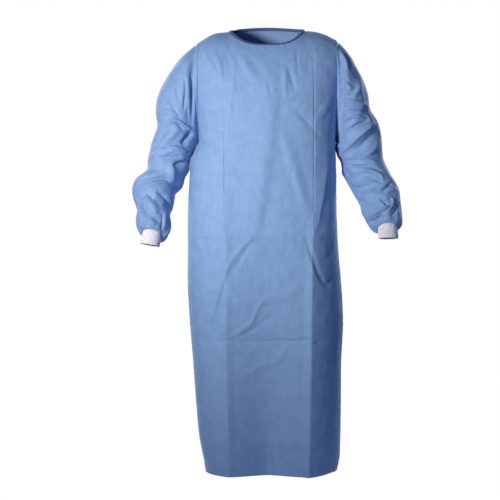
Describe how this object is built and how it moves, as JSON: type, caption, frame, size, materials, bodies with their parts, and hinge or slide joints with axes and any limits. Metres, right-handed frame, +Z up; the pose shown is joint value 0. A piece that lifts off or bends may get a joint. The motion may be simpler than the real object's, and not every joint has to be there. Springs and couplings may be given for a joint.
{
  "type": "surgical gown",
  "caption": "Long-sleeved blue surgical gown in light nonwoven cloth, filled out as worn, with a round neck, knit cuffs and a back that overlaps and ties.",
  "frame": {"origin": "middle of the neck opening, level with the highest points of the shoulders, where the wearer holds the gown up", "axes": "+Z up the wearer, +Y to the wearer's back, +X to the wearer's left; the wearer faces -Y"},
  "size_m": [0.7282, 0.2797, 1.2208],
  "materials": {
    "gown_cloth": "light blue spunbond nonwoven cloth with a soft sheen and packing creases",
    "binding_cloth": "folded strip of the same blue nonwoven cloth",
    "cuff_knit": "white stretch rib knit",
    "tie_cloth": "folded strip of blue nonwoven cloth",
    "tab_cloth": "white hook and loop tape"
  },
  "bodies": {
    "root": {"front_upper": "gown_cloth", "front_lower": "gown_cloth", "back_right_upper": "gown_cloth", "back_right_lower": "gown_cloth", "back_left_upper": "gown_cloth", "back_left_lower": "gown_cloth", "sleeve_right_high": "gown_cloth", "sleeve_right_middle": "gown_cloth", "sleeve_right_low": "gown_cloth", "sleeve_left_high": "gown_cloth", "sleeve_left_low": "gown_cloth", "cuff_right": "cuff_knit", "cuff_left": "cuff_knit", "neck_binding": "binding_cloth", "neck_tab": "tab_cloth", "tie_right": "tie_cloth", "tie_left": "tie_cloth", "tie_tail_right": "tie_cloth", "tie_tail_left": "tie_cloth", "tie_knot": "tie_cloth"}
  },
  "joints": []
}
